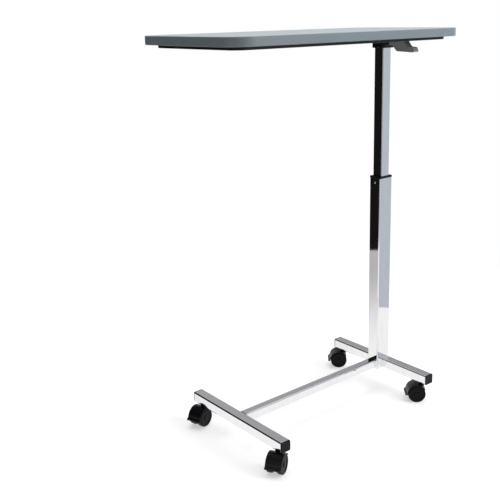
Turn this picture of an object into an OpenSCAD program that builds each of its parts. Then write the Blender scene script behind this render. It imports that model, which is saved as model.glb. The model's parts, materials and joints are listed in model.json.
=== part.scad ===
// Overbed table: H-shaped steel base on four twin-wheel casters, a telescopic column with a locking
// gas spring, and a laminated top that overhangs the bed. The mast is drawn fully raised.
// X runs along the tabletop, from the open end towards the column. Y is the tabletop's width.
// The origin is on the floor, under the centre of the tabletop.

/* [Tabletop] */
// Length of the tabletop
top_length = 762; // [640:1:920]
// Width of the tabletop
top_width = 381; // [330:1:460]
// Thickness of the tabletop, laminate included
top_thickness = 21; // [17:0.5:27]
// Radius of the tabletop's corners in plan
corner_radius = 60; // [40:1:80]
// Thickness of the band round the edge
band_thickness = 2.5; // [1.5:0.1:4]
// Radius that rolls the band over at its upper and lower edge
band_roll = 2; // [0.5:0.1:3]
// Thickness of the laminate sheet on the core
laminate_thickness = 0.8; // [0.5:0.1:1.5]
// Height of the tabletop's upper face above the floor, mast raised
table_height = 1041; // [1000:1:1100]
// How far the tabletop reaches past the centre line of the rear leg
rear_overhang = 93; // [78:1:112]

/* [Underframe] */
// Gap from the tabletop's edge to the underframe tray
tray_inset = 30; // [20:1:40]
// Depth of the tray's rim
tray_depth = 8; // [6:0.5:12]
// Thickness of the tray's sheet steel
tray_sheet = 1.2; // [0.8:0.1:2]
// Width of the lip turned inwards along the rim
tray_lip = 10; // [6:1:16]
// Shank diameter of the screws that hold the tray
screw_diameter = 4; // [3:0.1:5]
// Head diameter of those screws
screw_head = 8; // [7:0.1:10]

/* [Column] */
// Outer tube, size along X
outer_tube_x = 50; // [44:0.5:60]
// Outer tube, size along Y
outer_tube_y = 38; // [36:0.5:46]
// Wall of both column tubes
column_wall = 1.5; // [1:0.1:2]
// Radius of the column tubes' corners
column_corner = 3; // [2:0.1:4]
// Height of the outer tube's upper end above the floor
outer_tube_top = 632; // [560:1:680]
// Side of the square inner tube
inner_tube_side = 31.8; // [28:0.1:33]
// Travel of the lift
lift_travel = 330; // [275:1:340]
// Length of the inner tube that stays inside the outer one when raised
mast_engagement = 158; // [130:1:190]
// How far the column's centre stands in front of the rear leg's centre line
column_offset = 12; // [8:0.5:14]
// Height of the collar's rim on the outer tube
collar_rim = 5.5; // [4:0.5:8]
// How far the collar's rim stands out from the outer tube
collar_overhang = 1; // [0.5:0.1:2]
// Depth of the collar inside the outer tube
collar_depth = 38; // [30:1:60]
// Height of the glide round the foot of the inner tube
glide_height = 42; // [30:1:60]
// Clearance between sliding flat faces
slide_gap = 0.3; // [0.2:0.05:0.4]
// Clearance round turning shafts and pins, on the radius
running_gap = 0.05; // [0.02:0.01:0.1]

/* [Gas spring] */
// Outer diameter of the gas spring's cylinder
cylinder_diameter = 22; // [20:0.5:23]
// Wall of the cylinder
cylinder_wall = 1.5; // [1:0.1:2]
// Diameter of the piston rod
rod_diameter = 10; // [8:0.5:12]
// Thread diameter of the stud under the cylinder
stud_diameter = 8; // [6:0.5:10]
// Diameter of the release pin in the rod
release_pin_diameter = 3.6; // [3:0.1:4]

/* [Head and lever] */
// Thickness of the head bracket's plate
head_plate = 3; // [2:0.1:4]
// Wall of the socket that holds the inner tube
socket_wall = 5; // [4:0.1:6]
// Depth of the head bracket below the tabletop
head_depth = 30; // [28:0.5:36]
// Bolt diameter in the head plate
bolt_diameter = 6; // [5:0.1:8]
// Width of the lever
lever_width = 20; // [16:0.5:22]
// Sheet thickness of the lever
lever_sheet = 2.2; // [1.5:0.1:3]
// Distance of the lever's tip from the column's centre
lever_reach = 116; // [100:1:135]
// Diameter of the lever's pivot pin
pivot_diameter = 5; // [4:0.1:6]

/* [Base] */
// Distance between the centre lines of the two legs
leg_spacing = 541; // [460:1:600]
// Length of a leg over its end caps
leg_length = 366; // [310:1:440]
// Width of the leg tube
leg_width = 30; // [26:0.5:36]
// Height of the leg tube
leg_height = 28; // [26:0.5:34]
// Side of the square rail tube
rail_side = 25; // [21:0.5:26]
// Wall of the leg and rail tubes
base_wall = 1.6; // [1.2:0.1:2]
// Radius of the leg and rail tubes' corners
base_corner = 4; // [2:0.1:5]
// Thickness of an end cap's face
cap_face = 3; // [2:0.1:5]
// Length of an end cap's plug
cap_plug = 13; // [9:0.5:15]

/* [Casters] */
// Wheel diameter
wheel_diameter = 50; // [48:0.5:54]
// Height of the legs' underside above the top of the wheels
caster_headroom = 7; // [6:0.5:14]
// Distance of a caster's stem from the end of its leg
stem_inset = 26; // [25:0.5:34]
// Distance from the stem's axis to the wheels' axis
caster_offset = 16; // [14:0.5:19]
// Width over both wheels
caster_width = 42; // [38:0.5:46]
// Gap between the two wheels, where the caster's body sits
wheel_gap = 13.6; // [13:0.1:15]
// Diameter of the stem
stem_diameter = 8; // [7:0.1:8.5]
// Axle diameter
axle_diameter = 6; // [5:0.1:7]
// Direction in which the front left caster trails, from +X
front_left_trail = 195; // [0:1:359]
// Direction in which the front right caster trails
front_right_trail = 209; // [0:1:359]
// Direction in which the rear left caster trails
rear_left_trail = 138; // [0:1:359]
// Direction in which the rear right caster trails
rear_right_trail = 138; // [0:1:359]

/* [Hidden] */
$fn = 48;
eps = 0.01;

rear_leg_x = top_length / 2 - rear_overhang;
front_leg_x = rear_leg_x - leg_spacing;
column_x = rear_leg_x - column_offset;
leg_clearance = wheel_diameter + caster_headroom;
leg_top = leg_clearance + leg_height;
underside = table_height - top_thickness;
stem_y = leg_length / 2 - stem_inset;

core_length = top_length - 2 * band_thickness;
core_width = top_width - 2 * band_thickness;
core_radius = corner_radius - band_thickness;
tray_length = top_length - 2 * tray_inset;
tray_width = top_width - 2 * tray_inset;
tray_radius = corner_radius - tray_inset;
tray_floor = underside - tray_sheet;
screw_end = 20;
screw_pitch_x = (tray_length - 2 * (tray_radius + screw_end)) / 3;
screw_x = [for (i = [0:3]) (i - 1.5) * screw_pitch_x];
screw_edge = 6;
screw_y = tray_width / 2 - tray_lip - screw_head / 2 - screw_edge;
screw_length = top_thickness * 0.6;
screw_head_height = 2.2;

outer_inside_x = outer_tube_x - 2 * column_wall;
outer_inside_y = outer_tube_y - 2 * column_wall;
inner_inside = inner_tube_side - 2 * column_wall;
column_inside_corner = inside_radius(column_corner, column_wall);
inner_bottom = outer_tube_top - mast_engagement;
inner_tube_drop = 17;
inner_top = underside - inner_tube_drop;
guide_hole = inner_tube_side + 2 * slide_gap;
collar_screw_diameter = 4;
collar_screw_drop = 12;
collar_screw_z = outer_tube_top - collar_screw_drop;

socket_side = inner_tube_side + 2 * socket_wall;
head_under = underside - head_depth;
plate_under = tray_floor - head_plate;
plate_front = 62;
plate_rear = 44;
plate_half_width = 32;
bolt_x = [-47, 32];
bolt_y = 20;
bolt_length = 14;
bolt_head = bolt_diameter * 1.8;
bolt_head_height = 4;

pivot_reach = 6;
pivot_drop = 13;
pivot_y = -(socket_side / 2 + pivot_reach);
pivot_z = underside - pivot_drop;
ear_gap = lever_width + 1;
ear_sheet = 3;
lever_top = 3;
tongue_width = 10;
tongue_top = 4;
tongue_bottom = 1;
pin_arm = -pivot_y;

clamp_drop = 4;
clamp_top = inner_top - clamp_drop;
clamp_height = 10;
clamp_screw_diameter = 4;
rod_spare = 6;
cylinder_rise = 17;
cylinder_top = clamp_top - clamp_height - lift_travel - rod_spare;
cylinder_bottom = leg_clearance + cylinder_rise;
cylinder_cap = 14;
chamber_diameter = cylinder_diameter - 2 * cylinder_wall;
piston_height = 18;
piston_top = cylinder_top - cylinder_cap - 1;
foot_block_rise = 6;
foot_block_bottom = leg_clearance + foot_block_rise;
foot_nut_width = stud_diameter * 1.6;
foot_nut_height = 5;
release_pin_top = pivot_z - tongue_bottom - 0.5;
release_pin_length = release_pin_top - clamp_top + 20;

tube_end = leg_length / 2 - cap_face;
stem_sleeve = 2.5;
socket_spare = 3;
socket_outer = stem_diameter + 2 * stem_sleeve;
socket_height = leg_height - base_wall - socket_spare;
socket_flange = 1.2;
socket_flange_diameter = 19;

wheel_radius = wheel_diameter / 2;
wheel_width = (caster_width - wheel_gap) / 2;
hood_clearance = 1.2;
hood_wall = 1.6;
hood_radius = wheel_radius + hood_clearance + hood_wall;
hood_overlap = 0.4;
hood_half_width = caster_width / 2 + hood_overlap;
hood_top = leg_clearance - socket_flange - slide_gap;
web_thickness = 7;
boss_diameter = wheel_gap - 1;
boss_bottom = wheel_radius - 4;
stem_bottom = boss_bottom + 6;
stem_top = leg_clearance + socket_height - 3;
axle_length = caster_width - 8;

CORNERS = [
    ["front_left", front_leg_x, 1, front_left_trail],
    ["front_right", front_leg_x, -1, front_right_trail],
    ["rear_left", rear_leg_x, 1, rear_left_trail],
    ["rear_right", rear_leg_x, -1, rear_right_trail]
];

// ---- shared shapes ----

// A rectangle with round corners, centred
module rounded(x, y, r) {
    square([x - 2 * r, y], center = true);
    square([x, y - 2 * r], center = true);
    for (sx = [-1, 1], sy = [-1, 1])
        translate([sx * (x / 2 - r), sy * (y / 2 - r)]) circle(r);
}

// Radius of a tube's corners on the inside
function inside_radius(r, wall) = max(r - wall, 0.4);

// A rectangular tube's section
module tube_section(x, y, r, wall) {
    difference() {
        rounded(x, y, r);
        rounded(x - 2 * wall, y - 2 * wall, inside_radius(r, wall));
    }
}

// A flat slab with round corners, from z = 0 up
module slab(x, y, r, height) {
    linear_extrude(height) rounded(x, y, r);
}

// Moves its children to the column's axis
module at_column(z = 0) {
    translate([column_x, 0, z]) children();
}

// Lays children drawn in a Y-Z side view across X, centred
module across_x(width) {
    rotate([90, 0, 90]) translate([0, 0, -width / 2]) linear_extrude(width) children();
}

// ---- tabletop ----

module fixing_holes() {
    for (x = screw_x, s = [-1, 1])
        translate([x, s * screw_y, tray_floor - 1])
            cylinder(d = screw_diameter + 2 * running_gap, h = tray_sheet + screw_length + 1.5);
    for (x = bolt_x, s = [-1, 1])
        at_column(tray_floor - 1) translate([x, s * bolt_y, 0])
            cylinder(d = bolt_diameter + 2 * running_gap, h = tray_sheet + bolt_length + 1.5);
}

module tabletop_core() {
    color("tan") difference() {
        translate([0, 0, underside])
            slab(core_length, core_width, core_radius, top_thickness - laminate_thickness);
        fixing_holes();
    }
}

module laminate() {
    color("slategray") translate([0, 0, table_height - laminate_thickness])
        slab(core_length, core_width, core_radius, laminate_thickness);
}

// The band's section: x is the distance out from the core, with its outer edges rolled over
module band_section() {
    difference() {
        square([band_thickness, top_thickness]);
        for (low = [true, false])
            translate([band_thickness, low ? 0 : top_thickness]) difference() {
                square(2 * band_roll, center = true);
                translate([-band_roll, low ? band_roll : -band_roll]) circle(band_roll);
                translate([-3 * band_roll, low ? 0 : -4 * band_roll]) square([2 * band_roll, 4 * band_roll]);
                translate([-2 * band_roll, low ? band_roll : -3 * band_roll])
                    square([3 * band_roll, 2 * band_roll]);
            }
    }
}

module edge_band() {
    run_x = core_length - 2 * core_radius;
    run_y = core_width - 2 * core_radius;
    color("slategray") translate([0, 0, underside]) {
        for (i = [0:3])
            rotate(90 * i) {
                run = i % 2 == 0 ? run_y : run_x;
                side = i % 2 == 0 ? core_length : core_width;
                translate([side / 2, run / 2, 0]) rotate([90, 0, 0]) linear_extrude(run) band_section();
                translate([side / 2 - core_radius, run / 2, 0])
                    rotate_extrude(angle = 90) translate([core_radius, 0]) band_section();
            }
    }
}

module underframe_tray() {
    color("#15171a") difference() {
        translate([0, 0, underside - tray_depth]) slab(tray_length, tray_width, tray_radius, tray_depth);
        translate([0, 0, underside - tray_depth + tray_sheet])
            slab(tray_length - 2 * tray_sheet, tray_width - 2 * tray_sheet, tray_radius - tray_sheet,
                 tray_depth - 2 * tray_sheet);
        translate([0, 0, underside - tray_depth - 1])
            slab(tray_length - 2 * tray_lip, tray_width - 2 * tray_lip, tray_radius - tray_lip,
                 2 + tray_sheet);
        fixing_holes();
    }
}

module tray_screws() {
    color("gray") for (x = screw_x, s = [-1, 1])
        translate([x, s * screw_y, tray_floor]) {
            cylinder(d = screw_diameter, h = tray_sheet + screw_length);
            translate([0, 0, -screw_head_height])
                cylinder(d1 = screw_head - 2, d2 = screw_head, h = screw_head_height);
        }
}

// ---- head and lever ----

module head_bracket() {
    ear_y = -pivot_y + 7;
    color("#15171a") at_column() difference() {
        union() {
            translate([-plate_front, -plate_half_width, plate_under])
                cube([plate_front + plate_rear, 2 * plate_half_width, head_plate]);
            translate([0, 0, head_under]) slab(socket_side, socket_side, 3, plate_under - head_under + eps);
            for (s = [-1, 1])
                translate([s * (ear_gap + ear_sheet) / 2, 0, 0]) across_x(ear_sheet) difference() {
                    translate([-ear_y, pivot_z - 7]) square([ear_y, plate_under - pivot_z + 7 + eps]);
                    translate([pivot_y, pivot_z]) circle(d = pivot_diameter + 2 * running_gap);
                }
        }
        translate([0, 0, head_under - 1])
            slab(inner_tube_side + 2 * running_gap, inner_tube_side + 2 * running_gap, column_corner,
                 plate_under - head_under + 1);
        translate([-tongue_width / 2 - 1.5, -socket_side, pivot_z - 7.5])
            cube([tongue_width + 3, socket_side, plate_under - pivot_z + 7.5]);
        for (x = bolt_x, s = [-1, 1])
            translate([x, s * bolt_y, plate_under - 1])
                cylinder(d = bolt_diameter + 2 * running_gap, h = head_plate + 2);
        clamp_screw_holes(socket_side + 10);
    }
}

module head_bolts() {
    color("dimgray") for (x = bolt_x, s = [-1, 1])
        at_column(plate_under) translate([x, s * bolt_y, 0]) {
            cylinder(d = bolt_diameter, h = head_plate + tray_sheet + bolt_length);
            translate([0, 0, -bolt_head_height])
                cylinder(d = bolt_head, h = bolt_head_height, $fn = 6);
        }
}

// The lever's outline from the side, measured from its pivot; x runs out from the column
module lever_outline() {
    tip = lever_reach + pivot_y;
    polygon([
        [-5, lever_top], [tip - 32, lever_top], [tip - 19, -13], [tip - 2, -14.5],
        [tip, -16.5], [tip, -27], [30, -25], [17, -10], [-5, -7]
    ]);
}

module lever() {
    pocket_length = lever_reach + pivot_y - 36;
    color("#7d8084") at_column() translate([0, pivot_y, pivot_z]) difference() {
        union() {
            difference() {
                mirror([0, 1, 0]) across_x(lever_width) lever_outline();
                translate([-lever_width / 2 + lever_sheet, -pocket_length, -5])
                    cube([lever_width - 2 * lever_sheet, pocket_length + 10, 20]);
                translate([-lever_width / 2 + lever_sheet, -pocket_length, -20])
                    cube([lever_width - 2 * lever_sheet, pocket_length - 27, 20]);
            }
            translate([-tongue_width / 2, -12, -5 - eps]) cube([tongue_width, 16, 5 + tongue_top]);
            translate([-tongue_width / 2, 0, -tongue_bottom])
                cube([tongue_width, pin_arm + 5, tongue_bottom + tongue_top]);
        }
        rotate([0, 90, 0]) cylinder(d = pivot_diameter + 2 * running_gap, h = lever_width + 2, center = true);
    }
}

module lever_pin() {
    length = ear_gap + 2 * ear_sheet;
    color("silver") at_column() translate([0, pivot_y, pivot_z]) rotate([0, 90, 0]) {
        cylinder(d = pivot_diameter, h = length + 2, center = true);
        translate([0, 0, length / 2]) cylinder(d = pivot_diameter + 3, h = 1.5);
    }
}

module release_pin() {
    color("silver") at_column(release_pin_top - release_pin_length)
        cylinder(d = release_pin_diameter, h = release_pin_length);
}

// A torsion spring's coils, with one leg against the socket and one over the lever's floor
module lever_spring() {
    wire = 1;
    leg = 0.8;
    coil_radius = pivot_diameter / 2 + 0.3 + wire / 2;
    first_coil = tongue_width / 2 + 0.3 + wire / 2;
    color("silver") at_column() translate([0, pivot_y, pivot_z]) rotate([0, 90, 0]) {
        rotate_extrude() for (i = [0, 1])
            translate([coil_radius, first_coil + i * 0.95 * wire]) circle(d = wire);
        translate([-coil_radius, 0, first_coil]) rotate([-90, 0, 0]) cylinder(d = leg, h = 4.4);
        translate([coil_radius, 0, first_coil + 0.95 * wire]) rotate([90, 0, 0]) cylinder(d = leg, h = 8);
    }
}

// ---- mast ----

// Two holes or shanks through the socket, the inner tube and the clamp, along X
module clamp_screw_holes(length) {
    translate([0, 0, clamp_top - clamp_height / 2]) rotate([0, 90, 0])
        cylinder(d = clamp_screw_diameter + 2 * running_gap, h = length, center = true);
}

module inner_tube() {
    color("gainsboro") at_column() difference() {
        translate([0, 0, inner_bottom]) linear_extrude(inner_top - inner_bottom)
            tube_section(inner_tube_side, inner_tube_side, column_corner, column_wall);
        clamp_screw_holes(inner_tube_side + 10);
    }
}

module rod_clamp() {
    side = inner_inside - 2 * running_gap;
    color("dimgray") at_column() difference() {
        translate([0, 0, clamp_top - clamp_height])
            slab(side, side, column_inside_corner, clamp_height);
        translate([0, 0, clamp_top - clamp_height - 1])
            cylinder(d = rod_diameter + 2 * running_gap, h = clamp_height + 2);
        clamp_screw_holes(side + 10);
    }
}

module clamp_screws() {
    inner_end = rod_diameter / 2 + 1;
    color("dimgray") at_column(clamp_top - clamp_height / 2) for (turn = [0, 180]) rotate(turn) {
        translate([inner_end, 0, 0]) rotate([0, 90, 0])
            cylinder(d = clamp_screw_diameter, h = socket_side / 2 - inner_end);
        translate([socket_side / 2, 0, 0]) rotate([0, 90, 0])
            cylinder(d1 = clamp_screw_diameter * 2, d2 = clamp_screw_diameter * 1.4, h = 2.2);
    }
}

module mast_glide() {
    lip = 3;
    hole = inner_tube_side + 2 * running_gap;
    color("white") at_column(inner_bottom - lip) difference() {
        slab(outer_inside_x - 2 * slide_gap, outer_inside_y - 2 * slide_gap, column_inside_corner,
             glide_height);
        translate([0, 0, lip]) slab(hole, hole, column_corner, glide_height);
        translate([0, 0, -1]) cylinder(d = cylinder_diameter + 2 * slide_gap, h = lip + 2);
    }
}

module gas_rod() {
    color("silver") at_column() difference() {
        union() {
            translate([0, 0, piston_top - piston_height])
                cylinder(d = chamber_diameter - 2 * slide_gap, h = piston_height);
            translate([0, 0, piston_top - eps])
                cylinder(d = rod_diameter, h = clamp_top + 1 - piston_top + eps);
        }
        translate([0, 0, release_pin_top - release_pin_length - 6])
            cylinder(d = release_pin_diameter + 2 * running_gap, h = release_pin_length + 10);
    }
}

// ---- outer column ----

module collar_screw_hole(diameter) {
    translate([-outer_tube_x / 2 - 1, 0, collar_screw_z]) rotate([0, 90, 0])
        cylinder(d = diameter, h = column_wall + 7);
}

module outer_tube() {
    color("gainsboro") at_column() difference() {
        translate([0, 0, leg_clearance]) linear_extrude(outer_tube_top - leg_clearance)
            tube_section(outer_tube_x, outer_tube_y, column_corner, column_wall);
        collar_screw_hole(collar_screw_diameter + 2 * running_gap);
    }
}

module collar() {
    color("#15171a") at_column() difference() {
        union() {
            translate([0, 0, outer_tube_top])
                slab(outer_tube_x + 2 * collar_overhang, outer_tube_y + 2 * collar_overhang,
                     column_corner + collar_overhang, collar_rim);
            translate([0, 0, outer_tube_top - collar_depth])
                slab(outer_inside_x - 2 * running_gap, outer_inside_y - 2 * running_gap,
                     column_inside_corner, collar_depth + eps);
        }
        translate([0, 0, outer_tube_top - collar_depth - 1])
            slab(guide_hole, guide_hole, column_corner, collar_depth + collar_rim + 2);
        collar_screw_hole(collar_screw_diameter + 2 * running_gap);
    }
}

module collar_screw() {
    head_height = 1.8;
    color("silver") at_column(collar_screw_z) translate([-outer_tube_x / 2, 0, 0]) rotate([0, 90, 0]) {
        cylinder(d = collar_screw_diameter, h = column_wall + 4.5);
        translate([0, 0, -head_height])
            cylinder(d1 = collar_screw_diameter, d2 = collar_screw_diameter + 2.4, h = head_height);
    }
}

module gas_cylinder() {
    color("#2a2b2d") at_column() difference() {
        union() {
            translate([0, 0, cylinder_bottom])
                cylinder(d = cylinder_diameter, h = cylinder_top - cylinder_bottom);
            translate([0, 0, foot_block_bottom - foot_nut_height])
                cylinder(d = stud_diameter, h = cylinder_bottom - foot_block_bottom + foot_nut_height + eps);
        }
        translate([0, 0, cylinder_bottom + 8])
            cylinder(d = chamber_diameter, h = cylinder_top - cylinder_cap - cylinder_bottom - 8);
        translate([0, 0, cylinder_top - cylinder_cap - 1])
            cylinder(d = rod_diameter + 2 * running_gap, h = cylinder_cap + 2);
    }
}

module foot_block() {
    color("dimgray") at_column(foot_block_bottom) difference() {
        slab(outer_inside_x - 2 * running_gap, outer_inside_y - 2 * running_gap, column_inside_corner,
             cylinder_bottom - foot_block_bottom);
        translate([0, 0, -1])
            cylinder(d = stud_diameter + 2 * running_gap, h = cylinder_bottom - foot_block_bottom + 2);
    }
}

module foot_nut() {
    color("silver") at_column(foot_block_bottom - foot_nut_height) difference() {
        cylinder(d = foot_nut_width, h = foot_nut_height, $fn = 6);
        translate([0, 0, -1]) cylinder(d = stud_diameter + 2 * running_gap, h = foot_nut_height + 2);
    }
}

// ---- base frame ----

// A leg tube along Y between two values of y, at its leg's x
module leg_tube(x, y_from, y_to) {
    difference() {
        translate([x, y_to, leg_clearance + leg_height / 2]) rotate([90, 0, 0])
            linear_extrude(y_to - y_from) tube_section(leg_width, leg_height, base_corner, base_wall);
        for (s = [-1, 1])
            translate([x, s * stem_y, leg_clearance - 1])
                cylinder(d = socket_outer + 2 * running_gap, h = base_wall + 2);
    }
}

module front_leg() {
    color("gainsboro") leg_tube(front_leg_x, -tube_end, tube_end);
}

module rear_leg_left() {
    color("gainsboro") leg_tube(rear_leg_x, outer_tube_y / 2, tube_end);
}

module rear_leg_right() {
    color("gainsboro") leg_tube(rear_leg_x, -tube_end, -outer_tube_y / 2);
}

module rail() {
    from = front_leg_x + leg_width / 2;
    to = column_x - outer_tube_x / 2;
    color("gainsboro") translate([from, 0, leg_top - rail_side / 2]) rotate([90, 0, 90])
        linear_extrude(to - from) tube_section(rail_side, rail_side, base_corner, base_wall);
}

module end_cap(corner) {
    plug_wall = 2;
    plug_x = leg_width - 2 * base_wall - 2 * running_gap;
    plug_z = leg_height - 2 * base_wall - 2 * running_gap;
    color("#15171a") translate([corner[1], corner[2] * tube_end, leg_clearance + leg_height / 2])
        rotate([-90 * corner[2], 0, 0]) {
            slab(leg_width, leg_height, base_corner, cap_face);
            translate([0, 0, -cap_plug]) linear_extrude(cap_plug + eps)
                tube_section(plug_x, plug_z, inside_radius(base_corner, base_wall), plug_wall);
        }
}

// ---- casters ----

// Moves its children from a caster's own place, stem on the Z axis and trailing along +X, to a corner
module at_corner(corner) {
    translate([corner[1], corner[2] * stem_y, 0]) rotate(corner[3]) children();
}

module socket(corner) {
    color("silver") at_corner(corner) difference() {
        union() {
            translate([0, 0, leg_clearance - socket_flange])
                cylinder(d = socket_flange_diameter, h = socket_flange);
            translate([0, 0, leg_clearance - eps]) cylinder(d = socket_outer, h = socket_height + eps);
        }
        translate([0, 0, leg_clearance - socket_flange - 1])
            cylinder(d = stem_diameter + 2 * running_gap, h = socket_flange + socket_height - 1);
    }
}

module stem(corner) {
    color("silver") at_corner(corner) translate([0, 0, stem_bottom])
        cylinder(d = stem_diameter, h = stem_top - stem_bottom);
}

// Children are drawn in the wheel plane: x trails, y is up, and z is the axle, centred on the axle's middle
module at_axle() {
    translate([caster_offset, 0, wheel_radius]) rotate([90, 0, 0]) children();
}

// A sector of the plane between two angles, long enough to cut the hood
module sector(from, to) {
    reach = 3 * hood_radius;
    polygon([[0, 0], for (i = [0:4]) let (a = from + (to - from) * i / 4) [reach * cos(a), reach * sin(a)]]);
}

module hood(corner) {
    hood_from = -4;
    hood_to = 150;
    lip_reach = 5;
    lip_thickness = 2.4;
    color("#15171a") at_corner(corner) difference() {
        union() {
            at_axle() {
                translate([0, 0, -hood_half_width]) linear_extrude(2 * hood_half_width) {
                    intersection() {
                        difference() {
                            circle(hood_radius);
                            circle(hood_radius - hood_wall);
                        }
                        sector(hood_from, hood_to);
                    }
                    rotate(hood_from) translate([hood_radius - hood_wall / 2, 0])
                        square([lip_reach + hood_wall / 2, lip_thickness]);
                }
                translate([0, 0, -web_thickness / 2]) linear_extrude(web_thickness) {
                    intersection() {
                        circle(hood_radius - hood_wall / 2);
                        sector(hood_from + 12, hood_to);
                    }
                    circle(axle_diameter / 2 + 4);
                }
                translate([0, 0, -boss_diameter / 2]) cylinder(d = axle_diameter + 6, h = boss_diameter);
            }
            translate([0, 0, boss_bottom]) cylinder(d = boss_diameter, h = hood_top - boss_bottom);
            translate([0, 0, wheel_diameter + 1])
                cylinder(d = stem_diameter + 9, h = hood_top - wheel_diameter - 1);
        }
        translate([0, 0, stem_bottom]) cylinder(d = stem_diameter + 2 * running_gap, h = hood_top);
        at_axle() cylinder(d = axle_diameter + 2 * running_gap, h = wheel_diameter, center = true);
    }
}

module axle(corner) {
    color("silver") at_corner(corner) at_axle() cylinder(d = axle_diameter, h = axle_length, center = true);
}

// Half of a wheel's section: x is the radius, y runs out from the wheel's inner face
module wheel_section() {
    hub = axle_diameter / 2 + 4;
    tread_roll = 2.5;
    rim = wheel_radius - 6;
    web_from = wheel_width - 4.2;
    bore_depth = (axle_length - wheel_gap) / 2 + 0.8;
    difference() {
        union() {
            translate([rim, 0]) square([wheel_radius - rim - tread_roll, wheel_width]);
            translate([rim, tread_roll]) square([wheel_radius - rim, wheel_width - 2 * tread_roll]);
            for (a = [tread_roll, wheel_width - tread_roll])
                translate([wheel_radius - tread_roll, a]) circle(tread_roll);
            translate([0, web_from]) square([rim + 1, 3]);
            translate([0, 0.5]) square([hub, wheel_width - 0.5]);
        }
        square([axle_diameter / 2 + running_gap, bore_depth]);
    }
}

module wheel(corner, side) {
    color("#1c1d1f") at_corner(corner) at_axle() mirror([0, 0, side > 0 ? 0 : 1])
        translate([0, 0, wheel_gap / 2]) rotate_extrude() wheel_section();
}

tabletop_core();
laminate();
edge_band();
underframe_tray();
tray_screws();
head_bracket();
head_bolts();
lever();
lever_pin();
lever_spring();
release_pin();
inner_tube();
rod_clamp();
clamp_screws();
mast_glide();
gas_rod();
outer_tube();
collar();
collar_screw();
gas_cylinder();
foot_block();
foot_nut();
front_leg();
rear_leg_left();
rear_leg_right();
rail();
for (corner = CORNERS) {
    end_cap(corner);
    socket(corner);
    stem(corner);
    hood(corner);
    axle(corner);
    wheel(corner, 1);
    wheel(corner, -1);
}
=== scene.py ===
import json
import math
import bmesh
import bpy
from mathutils import Matrix, Vector


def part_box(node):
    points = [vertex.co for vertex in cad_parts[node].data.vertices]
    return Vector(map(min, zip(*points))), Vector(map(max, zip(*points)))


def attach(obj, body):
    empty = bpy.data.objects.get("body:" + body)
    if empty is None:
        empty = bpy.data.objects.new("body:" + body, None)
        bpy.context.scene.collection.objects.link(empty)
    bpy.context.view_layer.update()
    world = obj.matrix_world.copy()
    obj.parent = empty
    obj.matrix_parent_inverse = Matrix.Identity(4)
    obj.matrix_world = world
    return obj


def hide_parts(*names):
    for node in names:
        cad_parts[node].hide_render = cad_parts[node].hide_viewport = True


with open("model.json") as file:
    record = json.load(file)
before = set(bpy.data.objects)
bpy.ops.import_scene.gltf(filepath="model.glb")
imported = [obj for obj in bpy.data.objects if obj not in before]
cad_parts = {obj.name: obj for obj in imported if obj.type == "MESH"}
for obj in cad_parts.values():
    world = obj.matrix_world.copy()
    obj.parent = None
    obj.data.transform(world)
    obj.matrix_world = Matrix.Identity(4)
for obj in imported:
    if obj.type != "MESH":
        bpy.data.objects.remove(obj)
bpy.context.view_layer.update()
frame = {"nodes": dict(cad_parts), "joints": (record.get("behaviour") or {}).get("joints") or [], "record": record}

# Overbed table: chromed H base on four twin-wheel casters, telescopic column, laminated top.
# Dictionaries give sizes in millimetres and angles in degrees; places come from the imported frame.
mm = 0.001
near = 0.00002                  # how close a vertex lies to the place that it is picked by
cornerNames = ["front_left", "front_right", "rear_left", "rear_right"]
joints = {joint["name"]: joint for joint in frame["joints"]}


def settle(name):
    piece = bpy.context.object
    piece.name = name
    piece.data.name = name
    bpy.ops.object.transform_apply(location=True, rotation=True, scale=True)
    return piece


def addBlock(name, low, high):
    bpy.ops.object.select_all(action="DESELECT")
    bpy.ops.mesh.primitive_cube_add(size=1, location=(Vector(low) + Vector(high)) / 2)
    bpy.context.object.scale = Vector(high) - Vector(low)
    return settle(name)


def addRod(name, centre, radius, length, axis=2, sides=40, tipRadius=None):
    turn = {0: (0, math.pi / 2, 0), 1: (-math.pi / 2, 0, 0), 2: (0, 0, 0)}[axis]
    bpy.ops.object.select_all(action="DESELECT")
    bpy.ops.mesh.primitive_cone_add(vertices=sides, radius1=radius, depth=length, location=centre,
                                    radius2=radius if tipRadius is None else tipRadius, rotation=turn)
    return settle(name)


def choose(piece):
    bpy.ops.object.select_all(action="DESELECT")
    piece.select_set(True)
    bpy.context.view_layer.objects.active = piece


def edit(piece):
    choose(piece)
    bpy.ops.object.mode_set(mode="EDIT")


def leave():
    bpy.ops.object.mode_set(mode="OBJECT")


def pick(kind, test):           # selects the vertices, edges or faces that pass the test
    data = bpy.context.object.data
    bpy.ops.mesh.select_mode(type=kind)
    bpy.ops.mesh.select_all(action="DESELECT")
    mesh = bmesh.from_edit_mesh(data)
    for part in {"VERT": mesh.verts, "EDGE": mesh.edges, "FACE": mesh.faces}[kind]:
        if test(part):
            part.select_set(True)
    bmesh.update_edit_mesh(data)


def along(axis):
    return lambda edge: abs((edge.verts[1].co - edge.verts[0].co).normalized()[axis]) > 0.999


def facing(*direction):
    return lambda face: face.normal.dot(Vector(direction)) > 0.99


def level(axis, place):
    return lambda part: all(abs(corner.co[axis] - place) < near for corner in part.verts)


def bevelEdges(piece, test, radius, steps):
    edit(piece)
    pick("EDGE", test)
    bpy.ops.mesh.bevel(offset=radius, offset_type="OFFSET", segments=steps, profile=0.5, affect="EDGES")
    leave()


def roundedBlock(name, low, high, corner, axis=2, steps=8):     # round corners seen along the axis
    block = addBlock(name, low, high)
    bevelEdges(block, along(axis), corner, steps)
    return block


def applyModifier(piece, kind, **settings):
    choose(piece)
    modifier = piece.modifiers.new(kind.lower(), kind)
    for key, value in settings.items():
        setattr(modifier, key, value)
    bpy.ops.object.modifier_apply(modifier=modifier.name)


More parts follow.
